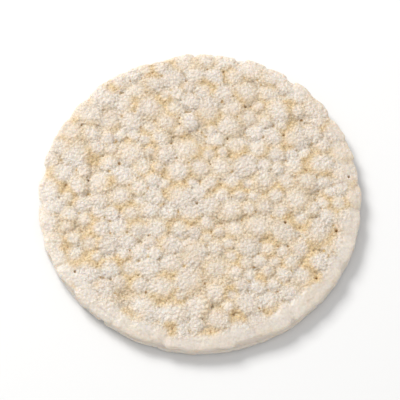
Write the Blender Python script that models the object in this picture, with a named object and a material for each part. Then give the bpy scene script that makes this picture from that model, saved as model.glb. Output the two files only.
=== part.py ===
"""A thin puffed rice cake, built as one solid.

Popped rice grains are pressed between two flat plates inside a round ring. Each face shows the
domes of its own layer of grains, with valleys between them. The plates flatten the highest
grains. The ring leaves an upright side wall with rounded corners, and it thins and smooths the
cake in a band along its edge.

Units are metres and +Z is up. The cake lies flat, with its origin at the bottom centre of its
box, so the grains that the lower plate flattened rest on the plane z = 0.
"""

import math

import bmesh
import bpy
import numpy as np

MM = 0.001

# The pressed disc.
CAKE_RADIUS = 47.3 * MM
CAKE_THICKNESS = 5.0 * MM
RIM_THICKNESS = 4.4 * MM
RIM_BAND = 7.0 * MM
CORNER_RADIUS = 1.0 * MM

# Each face is drawn on a triangular lattice. Every third point of it is the middle of a grain,
# and the rest are the valley points round the grains. All of them are moved at random.
LATTICE_RINGS = 15
CAP_SHARE = 0.48
LATTICE_SHIFT = 1.1 * MM
SHIFT_REACH = 3.2 * MM
TOP_SEED = 11
BOTTOM_SEED = 57

# One puffed grain: the dome of an ellipsoid. Its crown is given over the pressing plate, which
# cuts off whatever is higher.
GRAIN_HALF_SIZE = 3.3 * MM
GRAIN_SIZES = (0.86, 1.14)
GRAIN_STRETCHES = (1.0, 1.35)
GRAIN_DOME = 2.0 * MM
CROWN_OVER_PLATE = (-0.4 * MM, 0.5 * MM)
VALLEY_DEPTH = 1.25 * MM
RIM_SMOOTHING = 0.65

# The uneven outline: slow waves of the whole disc, and short ones of the grains along the ring.
OUTLINE_WAVES = {
    2: 0.14 * MM,
    3: 0.11 * MM,
    5: 0.08 * MM,
    19: 0.06 * MM,
    31: 0.08 * MM,
    43: 0.06 * MM,
}
OUTLINE_SEED = 5

# The lattice is a hexagon, rounded into a disc. The side has rows of vertices between the
# faces: two on each rounded corner and one along the middle.
CORNERS = 6
CORNER_ROWS = 2
SIDE_ROWS = 2 * CORNER_ROWS + 1

CREAM = (0.79, 0.67, 0.51, 1.0)
ROUGHNESS = 0.85


def clear_scene():
    """Removes every object, so that the cake stands alone."""
    for old in list(bpy.data.objects):
        bpy.data.objects.remove(old)


def smooth_step(value):
    """Eases from 0 to 1 as value does, and holds outside that span."""
    share = np.clip(value, 0.0, 1.0)
    return share * share * (3.0 - 2.0 * share)


def outline_radius(angle):
    """Radius of the cake's outline at each angle."""
    rng = np.random.default_rng(OUTLINE_SEED)
    radius = np.full_like(angle, CAKE_RADIUS)
    for count, height in OUTLINE_WAVES.items():
        radius += height * np.sin(count * angle + rng.uniform(0.0, math.tau))
    return radius


def rim_share(points):
    """How far each point is into the band along the rim, from 0 to 1."""
    radius = np.linalg.norm(points, axis=1)
    return smooth_step((radius - (CAKE_RADIUS - RIM_BAND)) / RIM_BAND)


def shifted(points, centres, shifts):
    """Moves points along with the grain centres near them, and less towards the outline."""
    gap = np.linalg.norm(points[:, None, :] - centres[None, :, :], axis=2)
    weight = np.exp(-((gap / SHIFT_REACH) ** 2))
    drift = weight @ shifts / weight.sum(axis=1, keepdims=True)
    hold = np.clip(np.linalg.norm(points, axis=1) / CAKE_RADIUS, 0.0, 1.0) ** 10
    return points + drift * (1.0 - hold)[:, None]


def grain_layer(centres, rng):
    """One face's grains: rows of centre x and y, half length, half width, turn and crown."""
    count = len(centres)
    size = GRAIN_HALF_SIZE * rng.uniform(*GRAIN_SIZES, count)
    stretch = np.sqrt(rng.uniform(*GRAIN_STRETCHES, count))
    turn = rng.uniform(0.0, math.pi, count)
    crown = rng.uniform(*CROWN_OVER_PLATE, count)
    return np.column_stack([centres, size * stretch, size / stretch, turn, crown])


def dome_height(points, grains):
    """The highest dome at each point, over the pressing plate, which cuts it off."""
    height = np.full(len(points), -VALLEY_DEPTH)
    for x, y, half_length, half_width, turn, crown in grains:
        across = points - (x, y)
        along = across @ (math.cos(turn), math.sin(turn))
        aside = across @ (-math.sin(turn), math.cos(turn))
        out = (along / half_length) ** 2 + (aside / half_width) ** 2
        dome = crown - GRAIN_DOME * (1.0 - np.sqrt(np.clip(1.0 - out, 0.0, 1.0)))
        height = np.maximum(height, np.where(out < 1.0, dome, -VALLEY_DEPTH))
    return np.minimum(height, 0.0)


def pressed_face(flat, centres, seed):
    """Places of one face's points in the plane, and their heights over the middle plane."""
    rng = np.random.default_rng(seed)
    shifts = rng.uniform(-LATTICE_SHIFT, LATTICE_SHIFT, centres.shape)
    places = shifted(flat, centres, shifts)
    grains = grain_layer(shifted(centres, centres, shifts), rng)
    rim = rim_share(places)
    plate = CAKE_THICKNESS / 2.0 - (CAKE_THICKNESS - RIM_THICKNESS) / 2.0 * rim
    return places, plate + dome_height(places, grains) * (1.0 - RIM_SMOOTHING * rim)


def grain_points(verts):
    """Those lattice points that are the middle of a grain: every third one."""
    steps = np.array([(0.0, 1.0), (math.cos(math.pi / 6.0), 0.5)]) / LATTICE_RINGS
    flat = np.array([vertex.co[:2] for vertex in verts])
    counts = np.round(flat @ np.linalg.inv(steps)).astype(int)
    return [vertex for vertex, count in zip(verts, counts) if (count[0] - count[1]) % 3 == 0]


def hexagonal_prism():
    """A hexagonal prism from z = -1 to 1, whose ends are drawn on the lattice of grains.

    The middle of every grain is cut off into a cap of six corners. Also returns the middles.
    """
    bm = bmesh.new()
    bmesh.ops.create_circle(
        bm, cap_ends=True, cap_tris=True, segments=CORNERS, radius=1.0
    )
    bmesh.ops.subdivide_edges(
        bm, edges=bm.edges[:], cuts=LATTICE_RINGS - 1, use_grid_fill=True
    )
    middles = grain_points(bm.verts[:])
    places = np.array([vertex.co for vertex in middles])
    bmesh.ops.bevel(
        bm,
        geom=[vertex for vertex in middles if not vertex.is_boundary],
        offset=CAP_SHARE / LATTICE_RINGS,
        segments=1,
        profile=0.5,
        affect="VERTICES",
        material=-1,
    )
    bmesh.ops.translate(bm, verts=bm.verts[:], vec=(0.0, 0.0, -1.0))
    made = bmesh.ops.extrude_face_region(
        bm, geom=bm.faces[:], use_keep_orig=True
    )
    top = [item for item in made["geom"] if isinstance(item, bmesh.types.BMVert)]
    bmesh.ops.translate(bm, verts=top, vec=(0.0, 0.0, 2.0))
    upright = [edge for edge in bm.edges if edge.verts[0].co.z != edge.verts[1].co.z]
    bmesh.ops.subdivide_edges(bm, edges=upright, cuts=SIDE_ROWS, use_grid_fill=True)
    bmesh.ops.recalc_face_normals(bm, faces=bm.faces[:])
    return bm, places


def round_hexagon(points):
    """Rounds points of the unit hexagon into a disc, as shares of the radius and angles."""
    sector = math.tau / CORNERS
    turn = np.arctan2(points[:, 1], points[:, 0])
    middle = np.round(turn / sector) * sector
    forward = points[:, 0] * np.cos(middle) + points[:, 1] * np.sin(middle)
    aside = points[:, 1] * np.cos(middle) - points[:, 0] * np.sin(middle)
    share = forward / math.cos(sector / 2.0)
    half_side = np.maximum(share * math.sin(sector / 2.0), 1e-9)
    return share, middle + aside / half_side * sector / 2.0


def corner_profile(row):
    """How far a side row lies out from the face's edge and down from it, in corner radii.

    A row is 1 at a face's edge and 0 at the cake's middle plane.
    """
    step = (1.0 - abs(row)) * (CORNER_ROWS + 1) / CORNER_ROWS
    bend = min(step, 1.0) * math.pi / 2.0
    return math.sin(bend), 1.0 - math.cos(bend)


def disc_points(points):
    """Points of the prism's ends on the cake's uneven disc, and their ways outwards."""
    share, angle = round_hexagon(points)
    way = np.column_stack([np.cos(angle), np.sin(angle)])
    return way * (share * (outline_radius(angle) - CORNER_RADIUS))[:, None], way


def shape_cake(bm, middles):
    """Moves the prism's vertices to the cake's two faces and its side wall."""
    prism = np.array([vertex.co for vertex in bm.verts])
    flat, way = disc_points(prism)
    centres, _ = disc_points(middles)
    top_places, top = pressed_face(flat, centres, TOP_SEED)
    bottom_places, bottom = pressed_face(flat, centres, BOTTOM_SEED)
    for index, vertex in enumerate(bm.verts):
        row = prism[index, 2]
        out, down = corner_profile(row)
        place, face = top_places[index], top[index] - down * CORNER_RADIUS
        if row < 0.0:
            place, face = bottom_places[index], down * CORNER_RADIUS - bottom[index]
        if abs(row) < 1e-6:
            face = (top[index] - bottom[index]) / 2.0
        x, y = place + way[index] * out * CORNER_RADIUS
        vertex.co = (x, y, face)


def stand_on_floor(bm):
    """Puts the origin at the bottom centre of the cake's box."""
    places = np.array([vertex.co for vertex in bm.verts])
    low, high = places.min(axis=0), places.max(axis=0)
    middle = (low + high) / 2.0
    bmesh.ops.translate(bm, verts=bm.verts[:], vec=(-middle[0], -middle[1], -low[2]))


def cream_finish():
    """The dry, matt cream of puffed white rice."""
    material = bpy.data.materials.new("puffed_rice")
    material.use_nodes = True
    shader = material.node_tree.nodes["Principled BSDF"]
    shader.inputs["Base Color"].default_value = CREAM
    shader.inputs["Roughness"].default_value = ROUGHNESS
    shader.inputs["Metallic"].default_value = 0.0
    material.diffuse_color = CREAM
    return material


def build_rice_cake():
    """Builds the cake as one closed object."""
    bm, middles = hexagonal_prism()
    shape_cake(bm, middles)
    stand_on_floor(bm)
    mesh = bpy.data.meshes.new("rice_cake")
    bm.to_mesh(mesh)
    bm.free()
    mesh.shade_smooth()
    mesh.materials.append(cream_finish())
    cake = bpy.data.objects.new("rice_cake", mesh)
    bpy.context.scene.collection.objects.link(cake)
    return cake


clear_scene()
build_rice_cake()
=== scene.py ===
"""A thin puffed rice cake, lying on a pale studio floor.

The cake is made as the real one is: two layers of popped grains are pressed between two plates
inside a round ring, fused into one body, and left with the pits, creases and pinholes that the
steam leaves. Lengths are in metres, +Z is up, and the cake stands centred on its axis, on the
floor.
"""

import logging
import math
from collections.abc import Callable
from dataclasses import dataclass, field
from enum import Enum

import bmesh
import bpy
import numpy as np
from mathutils import Euler, Matrix, Vector, noise
from mathutils.kdtree import KDTree


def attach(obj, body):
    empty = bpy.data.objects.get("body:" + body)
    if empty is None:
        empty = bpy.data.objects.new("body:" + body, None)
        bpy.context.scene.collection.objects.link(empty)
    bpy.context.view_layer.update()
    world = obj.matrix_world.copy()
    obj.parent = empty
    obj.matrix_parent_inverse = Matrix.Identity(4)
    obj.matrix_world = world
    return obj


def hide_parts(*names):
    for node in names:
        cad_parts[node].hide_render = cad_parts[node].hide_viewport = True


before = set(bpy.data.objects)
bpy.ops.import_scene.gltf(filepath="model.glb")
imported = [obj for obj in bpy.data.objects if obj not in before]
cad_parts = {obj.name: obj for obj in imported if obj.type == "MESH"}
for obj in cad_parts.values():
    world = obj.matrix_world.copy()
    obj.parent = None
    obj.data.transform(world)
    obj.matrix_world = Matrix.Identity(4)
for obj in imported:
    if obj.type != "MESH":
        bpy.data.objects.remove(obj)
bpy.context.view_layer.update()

MM = 0.001
TINY = 1e-9
Colour = tuple[float, float, float, float]
Span = tuple[float, float]
Waves = tuple[tuple[int, float], ...]
Points = np.ndarray
log = logging.getLogger("rice_cake")


class Face(Enum):
    """The two faces of the cake, as the sign of their height over its middle plane."""

    TOP = 1.0
    BOTTOM = -1.0


class Noise(Enum):
    """The kinds of noise that make the grains uneven."""

    SOFT = "PERLIN_ORIGINAL"
    CELLS = "VORONOI_F1"


def soft_cap(value: Points, limit: Points | float, knee: float) -> Points:
    """Holds values under a limit, with a rounded knee just below it.

    Args:
        value: The values to hold.
        limit: The limit of each.
        knee: How far below the limit the rounding is felt.

    Returns:
        The held values.
    """
    return limit - knee * np.logaddexp(0.0, (limit - value) / knee)


def smooth_step(value: Points) -> Points:
    """Eases from 0 to 1 as the value does, and holds outside that span.

    Args:
        value: The values to ease.

    Returns:
        The eased values.
    """
    share = np.clip(value, 0.0, 1.0)
    return share * share * (3.0 - 2.0 * share)


def round_place(points: Points) -> tuple[Points, Points]:
    """How far points are from the cake's axis, and at which angle.

    Args:
        points: Rows that start with x and y.

    Returns:
        Their radii and their angles.
    """
    return np.hypot(points[:, 0], points[:, 1]), np.arctan2(points[:, 1], points[:, 0])


def noise_at(places: Points, scale: float, kind: Noise = Noise.SOFT) -> Points:
    """Noise at each place.

    Args:
        places: Rows of x, y and z.
        scale: The length of one of its waves.
        kind: The kind of noise.

    Returns:
        The noise, from about -1 to 1.
    """
    return np.array([noise.noise(Vector(p) / scale, noise_basis=kind.value) for p in places])


@dataclass(frozen=True)
class Press:
    """The two plates and the ring that shape the cake, about its middle plane."""

    radius: float = 47.3 * MM
    thickness: float = 5.0 * MM
    rim_thickness: float = 4.4 * MM
    rim_band: float = 7.0 * MM
    smooth_band: float = 6.4 * MM
    smooth_side: float = math.radians(-65.0)
    smooth_most: float = 0.9
    smooth_uneven: float = 0.12
    corner: float = 1.0 * MM
    plate_knee: float = 0.15 * MM
    ring_knee: float = 0.22 * MM
    wave_seed: int = 5
    waves: Waves = (
        (2, 0.14 * MM), (3, 0.11 * MM), (5, 0.08 * MM),
        (19, 0.06 * MM), (31, 0.08 * MM), (43, 0.06 * MM),
    )
    band_waves: Waves = ((5, 0.7 * MM), (11, 0.6 * MM), (23, 0.5 * MM))
    band_phase: float = 0.7
    band_run: float = 0.6
    edge_start: float = 2.6 * MM
    edge_run: float = 1.8 * MM

    def smooth_share(self, angle: Points) -> Points:
        """How smooth the rim is at each angle.

        Args:
            angle: The angles.

        Returns:
            The smoothness of each, from 0 to smooth_most.
        """
        turn = angle - self.smooth_side
        share = 0.5 + 0.5 * np.cos(turn) + self.smooth_uneven * np.sin(3.0 * turn + 1.0)
        return np.clip(share, 0.0, self.smooth_most)

    def outline(self, angle: Points) -> Points:
        """The ring's uneven radius.

        Args:
            angle: The angles.

        Returns:
            The radius at each.
        """
        rng = np.random.default_rng(self.wave_seed)
        radius = np.full_like(angle, self.radius)
        for count, height in self.waves:
            radius += height * np.sin(count * angle + rng.uniform(0.0, math.tau))
        return radius

    def rim_share(self, radius: Points) -> Points:
        """How far into the thinner band along the rim.

        Args:
            radius: How far from the axis.

        Returns:
            The share at each radius, from 0 to 1.
        """
        return smooth_step((radius - (self.radius - self.rim_band)) / self.rim_band)

    def rim_smoothness(self, points: Points) -> Points:
        """How smooth the ring pressed the band along the rim.

        Args:
            points: Rows that start with x and y.

        Returns:
            The smoothness at each, from 0 to 1.
        """
        radius, angle = round_place(points)
        inner = np.full_like(angle, self.radius - self.smooth_band)
        for count, height in self.band_waves:
            inner += height * np.sin(count * angle + self.band_phase * count)
        share = smooth_step((radius - inner) / (self.band_run * self.smooth_band))
        return share * self.smooth_share(angle)

    def edge_share(self, points: Points) -> Points:
        """How near the side wall points are.

        Args:
            points: Rows that start with x and y.

        Returns:
            The nearness of each, from 0 to 1.
        """
        radius, _ = round_place(points)
        return smooth_step((radius - self.radius + self.edge_start) / self.edge_run)

    def plate(self, radius: Points) -> Points:
        """The plates' height over the middle plane.

        Args:
            radius: How far from the axis.

        Returns:
            The height at each radius.
        """
        drop = (self.thickness - self.rim_thickness) / 2.0
        return self.thickness / 2.0 - drop * self.rim_share(radius)

    def wall(self, angle: Points, height: Points, plate: Points) -> Points:
        """The ring's radius, drawn in where the corners round off.

        Args:
            angle: The angles.
            height: The heights over the middle plane.
            plate: The plates' height there.

        Returns:
            The radius at each.
        """
        over = np.clip(np.abs(height) - plate + self.corner, 0.0, self.corner)
        inset = self.corner - np.sqrt(self.corner**2 - over**2)
        return self.outline(angle) - inset

    def press(self, points: Points) -> Points:
        """Presses points between the plates and into the ring.

        Args:
            points: Rows of x, y and z about the middle plane.

        Returns:
            The pressed rows.
        """
        radius, angle = round_place(points)
        plate = self.plate(np.minimum(radius, self.radius))
        height = soft_cap(np.abs(points[:, 2]), plate, self.plate_knee)
        wall = self.wall(angle, height, plate)
        held = soft_cap(radius, wall, self.ring_knee) / np.maximum(radius, TINY)
        held = np.where(radius > 0.5 * self.radius, held, 1.0)
        sign = np.sign(points[:, 2])
        return np.column_stack([points[:, :2] * held[:, None], height * sign])

    def depth(self, points: Points) -> Points:
        """How deep points lie under the nearest of the plates and the ring.

        Args:
            points: Rows of x, y and z about the middle plane.

        Returns:
            The depth of each.
        """
        radius, angle = round_place(points)
        plate = self.plate(np.minimum(radius, self.radius))
        below = plate - np.abs(points[:, 2])
        inside = self.wall(angle, points[:, 2], plate) - radius
        return np.minimum(below, np.maximum(inside, 0.0))


@dataclass
class GrainLayer:
    """One layer of popped grains, spread at random over a face."""

    press: Press
    face: Face
    seed: int
    pitch: float = 5.6 * MM
    spread: float = 0.27
    size_limits: Span = (0.70, 1.6)
    jitter: float = 0.4
    passes: int = 40
    start_inset: float = 0.2
    spacing: float = 0.98
    push: float = 0.3
    reach: Span = (0.93, 0.71)
    overlap: float = 1.31
    half_height: float = 1.20 * MM
    uneven_height: Span = (0.9, 1.1)
    stretch: Span = (1.0, 1.4)
    crown: Span = (-0.30 * MM, 0.05 * MM)
    rim_crown: float = 0.35 * MM
    swell: float = 0.35 * MM
    swell_gain: float = 1.6
    swell_scale: float = 5.8 * MM
    swell_shift: float = 31.0
    bridged: float = 0.05
    bridge_reach: float = 1.15
    bridge_length: float = 0.62
    bridge_width: float = 0.95
    bridge_drop: float = 0.05 * MM
    tilt: float = 0.06
    missing: int = 5
    missing_reach: float = 0.85
    chunk: int = 8192
    rng: np.random.Generator = field(init=False)
    centres: Points = field(init=False)
    radii: Points = field(init=False)

    def __post_init__(self) -> None:
        """Spreads the grains."""
        self.rng = np.random.default_rng(self.seed)
        self.centres, self.radii = self.spread_grains()

    def lattice(self) -> Points:
        """Lays a triangular lattice that reaches past the ring.

        Returns:
            Its points, as rows of x and y.
        """
        step = self.pitch * math.sqrt(3.0) / 2.0
        count = int(self.press.radius / step) + 2
        rows = range(-count, count + 1)
        return np.array([
            ((column + 0.5 * (row % 2)) * self.pitch, row * step)
            for row in rows for column in rows
        ])

    def spread_grains(self) -> tuple[Points, Points]:
        """Scatters grains of uneven size and pushes them apart until they fit.

        Returns:
            The grains' centres and their radii.
        """
        places = self.lattice()
        places += self.rng.uniform(-self.jitter, self.jitter, places.shape) * self.pitch
        size = 0.5 * self.pitch
        radii = size * np.exp(self.rng.normal(0.0, self.spread, len(places)))
        radii = np.clip(radii, *(limit * size for limit in self.size_limits))
        inside = np.hypot(*places.T) < self.press.radius - self.start_inset * self.pitch
        places, radii = places[inside], radii[inside]
        apart = np.eye(len(places)) * self.pitch
        for _ in range(self.passes):
            gap = places[:, None, :] - places[None, :, :]
            distance = np.linalg.norm(gap, axis=2) + apart
            want = self.spacing * (radii[:, None] + radii[None, :])
            push = np.clip(want - distance, 0.0, None) / distance
            np.fill_diagonal(push, 0.0)
            places = places + self.push * (gap * push[..., None]).sum(axis=1)
            out, angle = round_place(places)
            rough, even = self.reach
            reach = rough + (even - rough) * self.press.smooth_share(angle)
            held = np.minimum(out, self.press.radius - reach * radii)
            places = places * (held / np.maximum(out, TINY))[:, None]
        keep = np.ones(len(places), bool)
        inner = np.flatnonzero(np.hypot(*places.T) < self.missing_reach * self.press.radius)
        keep[self.rng.choice(inner, self.missing, replace=False)] = False
        return places[keep], radii[keep]

    def nearness(self, points: Points) -> tuple[Points, Points]:
        """Finds the grains round each point.

        Args:
            points: Rows of x, y and z.

        Returns:
            How far the three nearest grains are, in their own radii, and the nearest's number.
        """
        near, first = np.empty((len(points), 3)), np.empty(len(points), int)
        for start in range(0, len(points), self.chunk):
            rows = slice(start, start + self.chunk)
            gap = points[rows, None, :2] - self.centres[None, :, :]
            far = np.linalg.norm(gap, axis=2) / self.radii
            near[rows] = np.sort(np.partition(far, 2, axis=1)[:, :3], axis=1)
            first[rows] = far.argmin(axis=1)
        return near, first

    def swelling(self, points: Points) -> Points:
        """How far the grains stand out, in slow swells over the face.

        Args:
            points: Rows that start with x and y.

        Returns:
            The swell at each, from about -1 to 1.
        """
        shift = Vector((0.0, 0.0, self.swell_shift * self.face.value))
        return np.array([
            self.swell_gain * noise.noise(Vector((x, y, 0.0)) / self.swell_scale + shift)
            for x, y in points[:, :2]
        ])

    def matrix(self, place: Points, half: Span, crown: float, turn: float) -> Matrix:
        """The place, turn and size of one grain.

        Args:
            place: Its x and y.
            half: Its half length and half width.
            crown: How far it would stand over the plate.
            turn: Its turn about the vertical.

        Returns:
            What changes a ball of radius 1 into the grain.
        """
        height = self.half_height * self.rng.uniform(*self.uneven_height)
        plate = float(self.press.plate(np.array([math.hypot(*place)]))[0])
        middle = (plate + crown - height) * self.face.value
        lean = Euler((*self.rng.normal(0.0, self.tilt, 2), turn)).to_matrix().to_4x4()
        return Matrix.Translation((*place, middle)) @ lean @ Matrix.Diagonal((*half, height, 1.0))

    def matrices(self) -> list[Matrix]:
        """Places the grains, and the bridges that join some of them.

        Returns:
            What changes a ball of radius 1 into each of them.
        """
        rim = self.press.rim_share(np.hypot(*self.centres.T))
        crowns = self.rng.uniform(*self.crown, len(self.centres)) + self.rim_crown * rim
        crowns += self.swell * self.swelling(self.centres) * (1.0 - rim)
        found = []
        for place, radius, crown in zip(self.centres, self.radii, crowns):
            stretch = math.sqrt(self.rng.uniform(*self.stretch))
            half = radius * self.overlap * stretch, radius * self.overlap / stretch
            found.append(self.matrix(place, half, crown, self.rng.uniform(0.0, math.tau)))
        gap = np.linalg.norm(self.centres[:, None, :] - self.centres[None, :, :], axis=2)
        reach = self.bridge_reach * (self.radii[:, None] + self.radii[None, :])
        touching = np.triu(gap < reach, 1)
        for one, two in np.argwhere(touching):
            if self.rng.random() > self.bridged:
                continue
            along = self.centres[two] - self.centres[one]
            middle = (self.centres[one] + self.centres[two]) / 2.0
            narrow = min(self.radii[one], self.radii[two])
            half = self.bridge_length * gap[one, two], self.bridge_width * narrow
            crown = min(crowns[one], crowns[two]) - self.bridge_drop
            found.append(self.matrix(middle, half, crown, math.atan2(along[1], along[0])))
        return found


@dataclass
class PoppedGrain:
    """A few different popped grains, as lumpy balls of radius 1."""

    kinds: int = 9
    detail: int = 3
    lump: float = 0.08
    lump_scale: float = 1.25
    wrinkle: float = 0.04
    wrinkle_scale: float = 2.9
    noise_step: Span = (7.3, 3.1)
    noise_start: float = 11.7

    def build(self) -> list[bpy.types.Mesh]:
        """Builds the grains.

        Returns:
            One mesh for each kind.
        """
        return [self.one(kind) for kind in range(self.kinds)]

    def one(self, kind: int) -> bpy.types.Mesh:
        """Builds one kind of grain.

        Args:
            kind: Its number, which sets its lumps.

        Returns:
            Its mesh.
        """
        bm = bmesh.new()
        bmesh.ops.create_icosphere(bm, subdivisions=self.detail, radius=1.0)
        shift = Vector((*(kind * step for step in self.noise_step), self.noise_start))
        for vertex in bm.verts:
            lump = noise.noise(vertex.co * self.lump_scale + shift)
            wrinkle = noise.noise(vertex.co * self.wrinkle_scale + shift)
            vertex.co *= 1.0 + self.lump * lump + self.wrinkle * wrinkle
        mesh = bpy.data.meshes.new(f"grain_{kind}")
        bm.to_mesh(mesh)
        bm.free()
        return mesh


@dataclass
class Core:
    """The film of rice inside the cake, which closes it between the grains."""

    press: Press
    half_height: float = 1.45 * MM
    rim_half_height: float = 1.95 * MM
    rim_start: float = 9.0 * MM
    rim_end: float = 4.5 * MM
    corner: float = 0.8 * MM
    merge: float = 0.01 * MM
    inset: float = 0.5 * MM
    rough_inset: float = 0.4 * MM
    steps: int = 240

    def build(self) -> bpy.types.Mesh:
        """Turns the film's half section round the cake's axis.

        Returns:
            The film's mesh.
        """
        edge = self.press.radius - self.inset
        upper = [
            (0.0, self.half_height),
            (self.press.radius - self.rim_start, self.half_height),
            (self.press.radius - self.rim_end, self.rim_half_height),
            (edge - self.corner, self.rim_half_height),
            (edge, self.rim_half_height - self.corner),
        ]
        section = upper + [(r, -z) for r, z in reversed(upper)]
        bm = bmesh.new()
        verts = [bm.verts.new((r, 0.0, z)) for r, z in section]
        edges = [bm.edges.new(pair) for pair in zip(verts, verts[1:])]
        bmesh.ops.spin(
            bm, geom=verts + edges, cent=(0.0, 0.0, 0.0), axis=(0.0, 0.0, 1.0),
            angle=math.tau, steps=self.steps, use_merge=True,
        )
        bmesh.ops.remove_doubles(bm, verts=bm.verts[:], dist=self.merge)
        bmesh.ops.recalc_face_normals(bm, faces=bm.faces[:])
        flat = np.array([vertex.co[:2] for vertex in bm.verts])
        radius, angle = round_place(flat)
        radius = np.maximum(radius, TINY)
        rough = 1.0 - self.press.smooth_share(angle)
        outer = smooth_step((radius - self.press.radius + self.rim_end) / self.rim_end)
        held = 1.0 - self.rough_inset * rough * outer / radius
        for vertex, share in zip(bm.verts, held):
            vertex.co.xy *= share
        mesh = bpy.data.meshes.new("core")
        bm.to_mesh(mesh)
        bm.free()
        return mesh


class Blend(Enum):
    """How one colour is laid on another."""

    OVER = "MIX"
    MULTIPLY = "MULTIPLY"


class Sum(Enum):
    """What is made of two numbers."""

    ADD = "ADD"
    MULTIPLY = "MULTIPLY"
    LARGER = "MAXIMUM"


Socket = bpy.types.NodeSocket


@dataclass(frozen=True)
class Step:
    """A soft step: where it leaves 0, where it reaches its top, and how high that is."""

    low: float
    high: float
    top: float = 1.0


@dataclass(frozen=True)
class Nodes:
    """Adds nodes to a material, each by the socket that it gives out."""

    tree: bpy.types.NodeTree

    def feed(self, value: Socket | float | Colour, socket: Socket) -> None:
        """Sets a socket, or links it if the value comes from another node.

        Args:
            value: The value, or the socket that gives it.
            socket: The socket to set.
        """
        if isinstance(value, bpy.types.NodeSocket):
            self.tree.links.new(value, socket)
        else:
            socket.default_value = value

    def place(self) -> Socket:
        """Gives out the place in the object's own space.

        Returns:
            The socket.
        """
        return self.tree.nodes.new("ShaderNodeTexCoord").outputs["Object"]

    def attribute(self, name: str) -> Socket:
        """Gives out a mesh attribute.

        Args:
            name: Its name.

        Returns:
            The socket.
        """
        node = self.tree.nodes.new("ShaderNodeAttribute")
        node.attribute_name = name
        return node.outputs["Fac"]

    def cloud(self, scale: float, detail: float, rough: float = 0.5) -> Socket:
        """Gives out soft noise.

        Args:
            scale: How many of its waves make a metre.
            detail: How many finer layers it has.
            rough: How strong each finer layer is.

        Returns:
            The socket.
        """
        node = self.tree.nodes.new("ShaderNodeTexNoise")
        self.feed(scale, node.inputs["Scale"])
        self.feed(detail, node.inputs["Detail"])
        self.feed(rough, node.inputs["Roughness"])
        self.feed(self.place(), node.inputs["Vector"])
        return node.outputs["Fac"]

    def cells(self, scale: float) -> tuple[Socket, Socket]:
        """Gives out scattered cells.

        Args:
            scale: How many of them make a metre.

        Returns:
            The distance from the nearest cell's middle, and that cell's random colour.
        """
        node = self.tree.nodes.new("ShaderNodeTexVoronoi")
        self.feed(scale, node.inputs["Scale"])
        self.feed(self.place(), node.inputs["Vector"])
        return node.outputs["Distance"], node.outputs["Color"]

    def sum(self, kind: Sum, one: Socket | float, two: Socket | float) -> Socket:
        """Gives out a sum of two numbers.

        Args:
            kind: Which sum.
            one: The first number.
            two: The second one.

        Returns:
            The socket.
        """
        node = self.tree.nodes.new("ShaderNodeMath")
        node.operation = kind.value
        self.feed(one, node.inputs[0])
        self.feed(two, node.inputs[1])
        return node.outputs[0]

    def step(self, value: Socket, step: Step) -> Socket:
        """Gives out a soft step.

        Args:
            value: The number.
            step: The step.

        Returns:
            The socket.
        """
        node = self.tree.nodes.new("ShaderNodeMapRange")
        node.interpolation_type = "SMOOTHSTEP"
        self.feed(value, node.inputs["Value"])
        ends = (step.low, step.high, 0.0, step.top)
        if step.high < step.low:
            ends = (step.high, step.low, step.top, 0.0)
        for name, end in zip(("From Min", "From Max", "To Min", "To Max"), ends):
            self.feed(end, node.inputs[name])
        return node.outputs["Result"]

    def mix(self, share: Socket | float, one: Socket | Colour, two: Socket | Colour,
            blend: Blend = Blend.OVER) -> Socket:
        """Gives out a mix of two colours.

        Args:
            share: How much of the second one.
            one: The first colour.
            two: The second one.
            blend: How it is laid on the first.

        Returns:
            The socket.
        """
        node = self.tree.nodes.new("ShaderNodeMix")
        node.data_type = "RGBA"
        node.blend_type = blend.value
        first, second = (socket for socket in node.inputs if socket.type == "RGBA")
        self.feed(share, node.inputs[0])
        self.feed(one, first)
        self.feed(two, second)
        return next(socket for socket in node.outputs if socket.type == "RGBA")

    def bump(self, height: Socket, strength: Socket | float, distance: float) -> Socket:
        """Gives out the way that a rough skin faces.

        Args:
            height: The skin's height, from 0 to 1.
            strength: How much of it is felt.
            distance: How high 1 is.

        Returns:
            The socket.
        """
        node = self.tree.nodes.new("ShaderNodeBump")
        self.feed(strength, node.inputs["Strength"])
        self.feed(distance, node.inputs["Distance"])
        self.feed(height, node.inputs["Height"])
        return node.outputs["Normal"]


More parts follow.
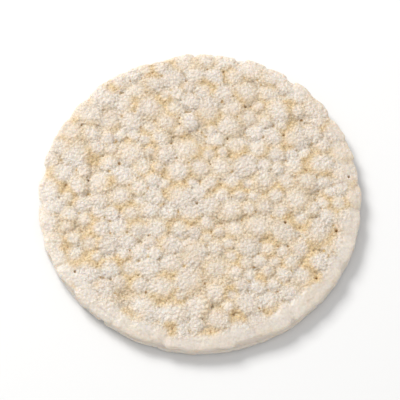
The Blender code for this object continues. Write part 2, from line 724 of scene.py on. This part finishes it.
@dataclass(frozen=True)
class PuffedRiceFinish:
    """Dry, matt puffed white rice: creamy crests, golden hollows and toasted pinholes.

    Each scale counts the waves or cells in a metre. The tan, golden and dark amber laid in
    hollows, creases, dips and down the grains' flanks are partly the rice's own amber and partly
    painted shade.
    """

    crest: Colour = (0.758, 0.674, 0.586, 1.0)
    pale: Colour = (0.795, 0.726, 0.649, 1.0)
    # Painted shade: the tan laid down each grain's flanks and where the skin lies deep.
    flank_shade: Colour = (0.725, 0.612, 0.472, 1.0)
    golden: Colour = (0.745, 0.560, 0.315, 1.0)
    # Painted shade: dark amber in deep dips, and at junction points, where it is partly toasted
    # colour.
    crease_shade_and_toast: Colour = (0.670, 0.445, 0.185, 1.0)
    toast: Colour = (0.400, 0.230, 0.090, 1.0)
    band: Colour = (0.735, 0.679, 0.607, 1.0)
    speckle: Colour = (0.620, 0.585, 0.530, 1.0)
    tones: Step = Step(0.0, 0.8)
    # Painted shade: where the tan sets in down the flanks, and how deep under the plates it sets
    # in.
    flank_shade_tint: Step = Step(0.6, 1.1, 0.18)
    depth_shade_tint: Step = Step(0.5, 1.3)
    # Painted shade, with the rice's amber: golden in low swells, in patches down the flanks, in
    # creases and at junction points.
    hollows: Step = Step(0.25, -0.6)
    patch_scale: float = 110.0
    patches: Step = Step(0.48, 0.68, 0.55)
    patch_flank_shade: Step = Step(0.3, 0.95, 0.7)
    patch_least: float = 0.2
    creases: Step = Step(0.03, 0.2, 0.35)
    point_scale: float = 240.0
    point_spread: Step = Step(0.36, 0.6)
    point_gold: float = 0.9
    # Dark amber at junction points: partly toasted colour, partly painted shade in the pits.
    point_toast_and_shade: Step = Step(0.6, 1.0, 0.85)
    # Painted shade: how deep under the plates the dark amber sets in.
    dips: Step = Step(0.95, 1.7, 0.7)
    speckle_scale: float = 1500.0
    speckle_fineness: float = 0.6
    speckles: Step = Step(0.62, 0.36)
    speckle_slopes: Step = Step(0.3, 1.0, 0.4)
    speckle_least: float = 0.35
    rim_band: Step = Step(0.1, 0.9, 0.5)
    white_side: Step = Step(0.0, 0.6, 0.7)
    stain_scale: float = 300.0
    stains: Step = Step(0.40, 0.7, 0.25)
    speck_scale: float = 420.0
    speck_spots: Step = Step(0.25, 0.6)
    speck_least: float = 0.15
    speck_size: Step = Step(0.30, 0.10)
    speck_share: Step = Step(0.25, 0.5)
    roughness: float = 0.42
    specular: float = 0.5
    scatter: float = 0.8
    scatter_depth: float = 1.5 * MM
    scatter_reach: tuple[float, float, float] = (1.0, 0.78, 0.56)
    skin_height: float = 0.32 * MM
    bubble_scale: float = 1100.0
    bubble_share: float = -0.45
    rough_scale: float = 1050.0
    rough_share: float = 1.7
    rough_strength: Step = Step(1.0, 0.0, 0.8)
    rough_least: float = 0.3

    def material(self) -> bpy.types.Material:
        """Builds the material.

        Returns:
            The material.
        """
        made = bpy.data.materials.new("puffed_rice")
        made.use_nodes = True
        shader = made.node_tree.nodes["Principled BSDF"]
        shader.inputs["Roughness"].default_value = self.roughness
        shader.inputs["Specular IOR Level"].default_value = self.specular
        shader.inputs["Subsurface Weight"].default_value = self.scatter
        shader.inputs["Subsurface Radius"].default_value = self.scatter_reach
        shader.inputs["Subsurface Scale"].default_value = self.scatter_depth
        nodes = Nodes(made.node_tree)
        nodes.feed(self.colour(nodes), shader.inputs["Base Color"])
        nodes.feed(self.skin(nodes), shader.inputs["Normal"])
        return made

    def colour(self, nodes: Nodes) -> Socket:
        """Lays the tones over one another, from the broadest to the smallest, painted shade among
        them.

        Args:
            nodes: The material's nodes.

        Returns:
            The socket of the colour.
        """
        colour = self.grains(nodes)
        spread = nodes.step(nodes.cloud(self.point_scale, detail=1.0), self.point_spread)
        points = nodes.sum(Sum.MULTIPLY, nodes.attribute("meet"), spread)
        # Golden in low places: partly the rice's own amber, partly painted shade.
        colour = nodes.mix(self.golden_share(nodes, points), colour, self.golden)
        # Painted shade: dark amber where the skin lies deep, and at junction points, partly
        # toasted there.
        dips = nodes.step(nodes.attribute("depth"), self.dips)
        dips = nodes.sum(Sum.LARGER, dips, nodes.step(points, self.point_toast_and_shade))
        colour = nodes.mix(dips, colour, self.crease_shade_and_toast)
        strength = nodes.step(nodes.attribute("away"), self.speckle_slopes)
        strength = nodes.sum(Sum.ADD, strength, self.speckle_least)
        speckle = nodes.cloud(self.speckle_scale, detail=2.0, rough=self.speckle_fineness)
        speckle = nodes.sum(Sum.MULTIPLY, nodes.step(speckle, self.speckles), strength)
        colour = nodes.mix(speckle, colour, self.speckle, Blend.MULTIPLY)
        rim = nodes.step(nodes.attribute("rim"), self.rim_band)
        colour = nodes.mix(rim, colour, self.band)
        side = nodes.attribute("side")
        colour = nodes.mix(nodes.step(side, self.white_side), colour, self.pale)
        stains = nodes.step(nodes.cloud(self.stain_scale, detail=2.0), self.stains)
        colour = nodes.mix(nodes.sum(Sum.MULTIPLY, side, stains), colour, self.golden)
        colour = nodes.mix(self.specks(nodes), colour, self.toast)
        return nodes.mix(nodes.attribute("pinhole"), colour, self.toast)

    def grains(self, nodes: Nodes) -> Socket:
        """Gives each grain its own tone, and paints shade on it in tan, down its flanks and where
        it lies deep.

        Args:
            nodes: The material's nodes.

        Returns:
            The socket of the colour.
        """
        tone = nodes.step(nodes.attribute("tone"), self.tones)
        grain = nodes.mix(tone, self.crest, self.pale)
        # Painted shade: tan down each grain's flanks, away from its middle.
        slopes = nodes.step(nodes.attribute("away"), self.flank_shade_tint)
        grain = nodes.mix(slopes, grain, self.flank_shade)
        # Painted shade: tan where the skin lies deep under the plates.
        deep = nodes.step(nodes.attribute("depth"), self.depth_shade_tint)
        return nodes.mix(deep, grain, self.flank_shade)

    def golden_share(self, nodes: Nodes, points: Socket) -> Socket:
        """Finds where the cake is golden: in hollows, broad patches, creases and points, partly
        as painted shade.

        Args:
            nodes: The material's nodes.
            points: How near the spots are where three grains meet.

        Returns:
            The socket of how golden it is.
        """
        # Golden where the grains sit low and in patches down their flanks: partly amber, partly
        # painted shade.
        hollows = nodes.step(nodes.attribute("swell"), self.hollows)
        broad = nodes.step(nodes.cloud(self.patch_scale, detail=0.0), self.patches)
        low = nodes.step(nodes.attribute("away"), self.patch_flank_shade)
        low = nodes.sum(Sum.ADD, low, self.patch_least)
        patches = nodes.sum(Sum.MULTIPLY, nodes.sum(Sum.LARGER, hollows, broad), low)
        # Golden where the skin sinks below its neighbours: painted shade in the creases, with the
        # rice's amber.
        creases = nodes.step(nodes.attribute("sunk"), self.creases)
        patches = nodes.sum(Sum.LARGER, patches, creases)
        return nodes.sum(Sum.LARGER, patches, nodes.sum(Sum.MULTIPLY, points, self.point_gold))

    def specks(self, nodes: Nodes) -> Socket:
        """Scatters toasted specks, mostly where three grains meet.

        Args:
            nodes: The material's nodes.

        Returns:
            The socket of how toasted it is.
        """
        distance, random = nodes.cells(self.speck_scale)
        close = nodes.step(nodes.attribute("meet"), self.speck_spots)
        close = nodes.sum(Sum.ADD, close, self.speck_least)
        small = nodes.step(distance, self.speck_size)
        few = nodes.step(random, self.speck_share)
        return nodes.sum(Sum.MULTIPLY, nodes.sum(Sum.MULTIPLY, small, few), close)

    def skin(self, nodes: Nodes) -> Socket:
        """Roughens the skin with the finest bubbles.

        Args:
            nodes: The material's nodes.

        Returns:
            The socket of the way that the skin faces.
        """
        distance, _ = nodes.cells(self.bubble_scale)
        bubbles = nodes.sum(Sum.MULTIPLY, distance, self.bubble_share)
        rough = nodes.cloud(self.rough_scale, detail=2.0)
        rough = nodes.sum(Sum.MULTIPLY, rough, self.rough_share)
        rough = nodes.sum(Sum.ADD, bubbles, rough)
        strength = nodes.step(nodes.attribute("rim"), self.rough_strength)
        strength = nodes.sum(Sum.ADD, strength, self.rough_least)
        return nodes.bump(rough, strength, self.skin_height)


@dataclass
class RiceCake:
    """The whole cake: grains and film, pressed, fused and skinned as one closed body."""

    press: Press = field(default_factory=Press)
    top_seed: int = 11
    bottom_seed: int = 57
    tone_seed: int = 5
    voxel: float = 0.27 * MM
    triangles: int = 188_000
    soft_passes: int = 4
    crease_passes: int = 24
    level: float = 0.60
    level_drop: float = 0.10 * MM
    level_reach: float = 1.0 * MM
    middle_reach: float = 0.5 * MM
    wrinkle: float = 0.03 * MM
    wrinkle_scale: float = 1.9 * MM
    bubble: float = 0.07 * MM
    bubble_scale: float = 1.05 * MM
    proud: float = 0.09 * MM
    proud_knee: float = 0.05 * MM
    rim_calm: float = 0.5
    edge_lump: float = 0.45 * MM
    edge_drop: float = 0.25
    edge_least: float = 0.1
    edge_scale: float = 3.6 * MM
    pit_depth: float = 0.55 * MM
    pit_reach: float = 0.14
    pit_scale: float = 4.0 * MM
    pit_middle: float = 0.6
    pit_change: float = 1.1
    pit_most: float = 1.5
    meet_reach: float = 0.3
    shallow_edge: float = 0.7
    near_edge: float = 0.6
    pinholes: int = 16
    pinhole_radii: Span = (0.18 * MM, 0.42 * MM)
    pinhole_depth: float = 2.2
    pinhole_steepness: int = 3
    pinhole_reach: float = 3.0
    stain_radius: float = 1.05
    stain_steepness: int = 4
    pinhole_inset: float = 2.5 * MM
    pinhole_near: float = 0.45 * MM
    pinhole_over: float = 0.2 * MM
    pinhole_stray: float = 0.004
    finish: PuffedRiceFinish = field(default_factory=PuffedRiceFinish)

    def build(self) -> bpy.types.Object:
        """Builds the cake, dressed, with its underside on the floor.

        Returns:
            The cake.
        """
        layers = [
            GrainLayer(self.press, Face.TOP, self.top_seed),
            GrainLayer(self.press, Face.BOTTOM, self.bottom_seed),
        ]
        cake = self.gather(layers)
        self.move(cake.data, self.press.press)
        self.fuse(cake)
        self.settle(cake.data, layers)
        self.skin(cake.data)
        holes = self.pierce(cake.data, layers)
        self.thin_out(cake)
        self.mark(cake.data, layers, holes)
        self.stand(cake.data)
        cake.data.shade_smooth()
        cake.data.materials.clear()
        cake.data.materials.append(self.finish.material())
        return cake

    def gather(self, layers: list[GrainLayer]) -> bpy.types.Object:
        """Puts all the grains and the film into one mesh.

        Args:
            layers: The layers of grains.

        Returns:
            The loose pile of grains, not pressed yet.
        """
        kinds = PoppedGrain().build()
        bm = bmesh.new()
        bm.from_mesh(Core(self.press).build())
        rng = np.random.default_rng(self.top_seed)
        for layer in layers:
            for matrix in layer.matrices():
                grain = kinds[int(rng.integers(len(kinds)))].copy()
                grain.transform(matrix)
                bm.from_mesh(grain)
                bpy.data.meshes.remove(grain)
        mesh = bpy.data.meshes.new("puffed_cake")
        bm.to_mesh(mesh)
        bm.free()
        cake = bpy.data.objects.new("puffed_cake", mesh)
        bpy.context.scene.collection.objects.link(cake)
        return cake

    @staticmethod
    def places(mesh: bpy.types.Mesh) -> Points:
        """Reads the mesh's points.

        Args:
            mesh: The mesh.

        Returns:
            Rows of x, y and z.
        """
        flat = np.empty(len(mesh.vertices) * 3)
        mesh.vertices.foreach_get("co", flat)
        return flat.reshape(-1, 3)

    @staticmethod
    def put(mesh: bpy.types.Mesh, places: Points) -> None:
        """Moves the mesh's points.

        Args:
            mesh: The mesh.
            places: Where they go, as rows of x, y and z.
        """
        mesh.vertices.foreach_set("co", places.ravel())
        mesh.update()

    def move(self, mesh: bpy.types.Mesh, change: Callable[[Points], Points]) -> None:
        """Moves the mesh's points as a function of them says.

        Args:
            mesh: The mesh.
            change: Gives the new points from the old ones.
        """
        self.put(mesh, change(self.places(mesh)))

    @staticmethod
    def apply_modifiers(cake: bpy.types.Object) -> None:
        """Makes the outcome of the object's modifiers its mesh.

        Args:
            cake: The object.
        """
        graph = bpy.context.evaluated_depsgraph_get()
        made = bpy.data.meshes.new_from_object(cake.evaluated_get(graph))
        cake.modifiers.clear()
        old, cake.data = cake.data, made
        bpy.data.meshes.remove(old)

    def fuse(self, cake: bpy.types.Object) -> None:
        """Fuses grains and film into one closed skin and drops the air pockets inside.

        Args:
            cake: The pile of grains, whose mesh becomes the skin.
        """
        remesh = cake.modifiers.new("fuse", "REMESH")
        remesh.mode = "VOXEL"
        remesh.voxel_size = self.voxel
        self.apply_modifiers(cake)
        bm = bmesh.new()
        bm.from_mesh(cake.data)
        shells = sorted(self.shells(bm), key=len, reverse=True)
        pockets = [vertex for shell in shells[1:] for vertex in shell]
        bmesh.ops.delete(bm, geom=pockets, context="VERTS")
        bm.to_mesh(cake.data)
        bm.free()
        count = len(cake.data.vertices)
        log.info("fused: %d points, %d air pockets closed", count, len(shells) - 1)

    @staticmethod
    def shells(bm: bmesh.types.BMesh) -> list[list[bmesh.types.BMVert]]:
        """Sorts the mesh's points into the closed skins that they belong to.

        Args:
            bm: The mesh.

        Returns:
            The points of each skin.
        """
        seen = np.zeros(len(bm.verts), bool)
        found = []
        for start in bm.verts:
            if seen[start.index]:
                continue
            shell, front = [start], [start]
            seen[start.index] = True
            while front:
                vertex = front.pop()
                for edge in vertex.link_edges:
                    other = edge.other_vert(vertex)
                    if not seen[other.index]:
                        seen[other.index] = True
                        shell.append(other)
                        front.append(other)
            found.append(shell)
        return found

    @staticmethod
    def smoothed(mesh: bpy.types.Mesh, places: Points, passes: int) -> Points:
        """Eases points towards the middle of those they are joined to.

        Args:
            mesh: The mesh whose edges join them.
            places: The points.
            passes: How many times each is eased halfway.

        Returns:
            The eased points.
        """
        ends = np.empty(len(mesh.edges) * 2, int)
        mesh.edges.foreach_get("vertices", ends)
        one, two = ends.reshape(-1, 2).T
        both, other = np.concatenate([one, two]), np.concatenate([two, one])
        count = np.maximum(np.bincount(both, minlength=len(places)), 1)
        for _ in range(passes):
            total = [np.bincount(both, places[other, k], len(places)) for k in range(3)]
            places = 0.5 * places + 0.5 * np.column_stack(total) / count[:, None]
        return places

    @staticmethod
    def normals(mesh: bpy.types.Mesh) -> Points:
        """Finds the way out of the skin at each point.

        Args:
            mesh: The skin.

        Returns:
            Rows of x, y and z.
        """
        flat = np.empty(len(mesh.vertices) * 3)
        mesh.vertex_normals.foreach_get("vector", flat)
        return flat.reshape(-1, 3)

    def settle(self, mesh: bpy.types.Mesh, layers: list[GrainLayer]) -> None:
        """Softens the creases, smooths the rim and sinks a pit where three grains meet.

        Args:
            mesh: The skin.
            layers: The layers of grains.
        """
        places = self.smoothed(mesh, self.places(mesh), self.soft_passes)
        side = np.sign(places[:, 2])
        sink = np.zeros(len(places))
        for layer in layers:
            here = np.flatnonzero(side == layer.face.value)
            near, _ = layer.nearness(places[here])
            meet = np.exp(-(((near[:, 2] - near[:, 0]) / self.pit_reach) ** 2))
            uneven = noise_at(places[here], self.pit_scale)
            share = np.clip(self.pit_middle + self.pit_change * uneven, 0.0, self.pit_most)
            sink[here] = self.pit_depth * meet * share
        smooth = self.press.rim_smoothness(places)
        plate = self.press.plate(round_place(places)[0])
        flat = np.abs(places[:, 2]) > plate - self.level_reach
        level = np.where(flat, self.level * smooth, 0.0)
        height = np.abs(places[:, 2]) - sink * (1.0 - smooth)
        height = height + level * (plate - self.level_drop - height)
        outer = np.abs(places[:, 2]) > self.middle_reach
        places[:, 2] = np.where(outer, side * height, places[:, 2])
        self.put(mesh, places)

    def skin(self, mesh: bpy.types.Mesh) -> None:
        """Gives the fused skin the small bubbles of popped rice, fainter along the rim.

        Args:
            mesh: The skin.
        """
        places = self.places(mesh)
        lumps = self.wrinkle * noise_at(places, self.wrinkle_scale)
        lumps -= self.bubble * noise_at(places, self.bubble_scale, Noise.CELLS)
        lumps -= lumps.mean()
        lumps *= 1.0 - self.rim_calm * self.press.rim_smoothness(places)
        edge = np.flatnonzero(self.press.edge_share(places) > 0.0)
        smooth = self.press.smooth_share(round_place(places[edge])[1])
        rough = 1.0 + self.edge_least - smooth
        waves = noise_at(places[edge], self.edge_scale) - self.edge_drop
        lumps[edge] += self.edge_lump * rough * waves
        log.info("bubbles: %.3f to %.3f mm", lumps.min() / MM, lumps.max() / MM)
        places += self.normals(mesh) * lumps[:, None]
        plate = self.press.plate(round_place(places)[0]) + self.proud
        height = soft_cap(np.abs(places[:, 2]), plate, self.proud_knee)
        places[:, 2] = np.sign(places[:, 2]) * height
        self.put(mesh, places)

    def pierce(self, mesh: bpy.types.Mesh, layers: list[GrainLayer]) -> Points:
        """Sinks a pinhole where steam broke out, mostly where three grains meet.

        Args:
            mesh: The skin.
            layers: The layers of grains.

        Returns:
            The pinholes, as rows of x, y, side and radius.
        """
        rng = np.random.default_rng(self.top_seed + 1)
        holes = np.array([hole for layer in layers for hole in self.spots(layer, rng)])
        places = self.places(mesh)
        for x, y, side, radius in holes:
            aside = np.abs(places[:, :2] - (x, y)).max(axis=1)
            on_face = places[:, 2] * side > self.pinhole_over
            near = np.flatnonzero((aside < self.pinhole_reach * radius) & on_face)
            out = np.hypot(places[near, 0] - x, places[near, 1] - y)
            fall = np.exp(-((out / radius) ** self.pinhole_steepness))
            sink = self.pinhole_depth * radius * fall
            places[near, 2] -= side * sink
        self.put(mesh, places)
        return holes

    def spots(self, layer: GrainLayer, rng: np.random.Generator) -> list[tuple[float, ...]]:
        """Chooses one face's pinholes.

        Args:
            layer: That face's grains.
            rng: The random numbers.

        Returns:
            Each pinhole's x, y, side and radius.
        """
        tree = KDTree(len(layer.centres))
        for index, (x, y) in enumerate(layer.centres):
            tree.insert((x, y, 0.0), index)
        tree.balance()
        reach = self.press.radius - self.pinhole_inset
        found = []
        while len(found) < self.pinholes:
            spot = rng.uniform(-1.0, 1.0, 2) * reach
            if np.hypot(*spot) > reach:
                continue
            far = [entry[2] for entry in tree.find_n((*spot, 0.0), 3)]
            if far[2] - far[0] > self.pinhole_near and rng.random() > self.pinhole_stray:
                continue
            found.append((*spot, layer.face.value, rng.uniform(*self.pinhole_radii)))
        return found

    def thin_out(self, cake: bpy.types.Object) -> None:
        """Takes faces away where the skin is smooth.

        Args:
            cake: The cake.
        """
        count = sum(len(face.vertices) - 2 for face in cake.data.polygons)
        if count > self.triangles:
            fewer = cake.modifiers.new("thin_out", "DECIMATE")
            fewer.ratio = self.triangles / count
            self.apply_modifiers(cake)
        log.info("skin: %d triangles, of which %d may stay", count, self.triangles)

    def mark(self, mesh: bpy.types.Mesh, layers: list[GrainLayer], holes: Points) -> None:
        """Marks each point with what its colour depends on, including where shade is painted.

        Args:
            mesh: The skin.
            layers: The layers of grains.
            holes: The pinholes, as rows of x, y, side and radius.
        """
        places = self.places(mesh)
        ways = self.normals(mesh)
        edge = self.press.edge_share(places)
        rim = self.press.rim_smoothness(places)
        # How far the skin sinks below its smoothed self, which places painted shade in the
        # creases.
        sunk = ((self.smoothed(mesh, places, self.crease_passes) - places) * ways).sum(axis=1)
        tone, away, meet, swell = np.zeros((4, len(places)))
        for layer in layers:
            shade = np.random.default_rng(layer.seed + self.tone_seed).random(len(layer.centres))
            here = np.flatnonzero(places[:, 2] * layer.face.value >= 0.0)
            near, first = layer.nearness(places[here])
            tone[here] = shade[first]
            away[here] = near[:, 0]
            meet[here] = np.exp(-(((near[:, 2] - near[:, 0]) / self.meet_reach) ** 2))
            swell[here] = layer.swelling(places[here])
        # depth, sunk, away, meet and swell place the shade painted into the colour.
        marks = {
            "depth": self.press.depth(places) / MM * (1.0 - self.shallow_edge * edge),
            "sunk": sunk / MM * (1.0 - edge),
            "tone": tone,
            "swell": swell,
            "rim": rim,
            "side": edge * (1.0 - np.abs(ways[:, 2])),
            "away": away * (1.0 - self.near_edge * np.maximum(rim, edge)),
            "meet": meet * (1.0 - rim),
            "pinhole": self.darkness(places, holes),
        }
        for name, values in marks.items():
            self.attribute(mesh, name, values)

    def darkness(self, places: Points, holes: Points) -> Points:
        """Finds how far inside a pinhole each point is.

        Args:
            places: The skin's points.
            holes: The pinholes, as rows of x, y, side and radius.

        Returns:
            The darkness of each point, from 0 to 1.
        """
        dark = np.zeros(len(places))
        for x, y, side, radius in holes:
            out = np.hypot(places[:, 0] - x, places[:, 1] - y)
            near = (out < self.pinhole_reach * radius) & (places[:, 2] * side > 0.0)
            share = out[near] / (self.stain_radius * radius)
            stain = np.exp(-(share ** self.stain_steepness))
            dark[near] = np.maximum(dark[near], stain)
        return dark

    @staticmethod
    def attribute(mesh: bpy.types.Mesh, name: str, values: Points) -> None:
        """Stores one number for each point of the mesh.

        Args:
            mesh: The mesh.
            name: The attribute's name.
            values: The numbers.
        """
        made = mesh.attributes.new(name, "FLOAT", "POINT")
        made.data.foreach_set("value", values.astype(np.float32))

    def stand(self, mesh: bpy.types.Mesh) -> None:
        """Centres the cake on its axis, resting on the floor.

        Args:
            mesh: The skin.
        """
        places = self.places(mesh)
        low, high = places.min(axis=0), places.max(axis=0)
        middle = (low + high) / 2.0
        mesh.transform(Matrix.Translation((-middle[0], -middle[1], -low[2])))


@dataclass
class Floor:
    """A plain pale floor, which is not part of the object."""

    size: float = 6.0
    colour: Colour = (0.86, 0.86, 0.86, 1.0)
    roughness: float = 0.7
    specular: float = 0.2

    def build(self) -> bpy.types.Object:
        """Builds the floor.

        Returns:
            The floor.
        """
        bm = bmesh.new()
        bmesh.ops.create_grid(bm, x_segments=1, y_segments=1, size=self.size / 2.0)
        mesh = bpy.data.meshes.new("floor")
        bm.to_mesh(mesh)
        bm.free()
        paint = bpy.data.materials.new("floor")
        paint.use_nodes = True
        shader = paint.node_tree.nodes["Principled BSDF"]
        shader.inputs["Base Color"].default_value = self.colour
        shader.inputs["Roughness"].default_value = self.roughness
        shader.inputs["Specular IOR Level"].default_value = self.specular
        mesh.materials.append(paint)
        floor = bpy.data.objects.new("floor", mesh)
        bpy.context.scene.collection.objects.link(floor)
        return floor


@dataclass(frozen=True)
class Softbox:
    """A soft square lamp, aimed at the cake."""

    name: str
    azimuth: float
    elevation: float
    distance: float
    size: float
    power: float
    colour: tuple[float, float, float] = (1.0, 1.0, 1.0)

    def build(self) -> bpy.types.Object:
        """Hangs the lamp.

        Returns:
            The lamp.
        """
        lamp = bpy.data.lights.new(self.name, "AREA")
        lamp.shape = "SQUARE"
        lamp.size = self.size
        lamp.energy = self.power
        lamp.color = self.colour
        made = bpy.data.objects.new(self.name, lamp)
        turn, rise = math.radians(self.azimuth), math.radians(self.elevation)
        level = Vector((math.sin(turn), -math.cos(turn), 0.0))
        way = level * math.cos(rise) + Vector((0.0, 0.0, math.sin(rise)))
        made.location = self.distance * way
        made.rotation_euler = (-made.location).to_track_quat("-Z", "Y").to_euler()
        bpy.context.scene.collection.objects.link(made)
        return made


@dataclass
class Studio:
    """The light and the camera."""

    world: float = 0.57
    key: Softbox = Softbox(
        "key", azimuth=217.0, elevation=42.0, distance=1.2, size=0.5, power=12.6,
        colour=(1.0, 0.992, 0.975),
    )
    fill: Softbox = Softbox(
        "fill", azimuth=40.0, elevation=50.0, distance=1.4, size=1.0, power=1.2,
    )
    elevation: float = 66.0
    distance: float = 0.65
    lens: float = 200.0
    look_at: float = 2.5 * MM
    nearest: float = 0.01

    def build(self) -> None:
        """Sets up the light and the camera."""
        world = bpy.data.worlds.new("studio")
        world.use_nodes = True
        back = world.node_tree.nodes["Background"]
        back.inputs["Color"].default_value = (1.0, 1.0, 1.0, 1.0)
        back.inputs["Strength"].default_value = self.world
        bpy.context.scene.world = world
        self.key.build()
        self.fill.build()
        bpy.context.scene.view_settings.view_transform = "Standard"
        self.camera()

    def camera(self) -> None:
        """Puts the camera in front of the cake, looking down on it."""
        lens = bpy.data.cameras.new("camera")
        lens.lens = self.lens
        lens.clip_start = self.nearest
        made = bpy.data.objects.new("camera", lens)
        rise = math.radians(self.elevation)
        target = Vector((0.0, 0.0, self.look_at))
        way = Vector((0.0, -math.cos(rise), math.sin(rise)))
        made.location = target + self.distance * way
        made.rotation_euler = (-way).to_track_quat("-Z", "Y").to_euler()
        bpy.context.scene.collection.objects.link(made)
        bpy.context.scene.camera = made


def size_text(piece: bpy.types.Object) -> str:
    """Gives a piece's size in words.

    Args:
        piece: The piece.

    Returns:
        Its length, width and height in millimetres.
    """
    return " x ".join(f"{side / MM:.1f}" for side in piece.dimensions)


def main() -> None:
    """Builds the studio and the cake, and reports each."""
    logging.basicConfig(level=logging.INFO, format="%(name)s: %(message)s")
    Studio().build()
    log.info("studio: two lamps and the camera")
    floor = Floor().build()
    log.info("%s: %.1f m wide", floor.name, floor.dimensions.x)
    cake = RiceCake().build()
    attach(cake, "root")
    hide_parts("rice_cake")
    log.info("%s: %d faces, %s mm", cake.name, len(cake.data.polygons), size_text(cake))


if __name__ == "__main__":
    main()
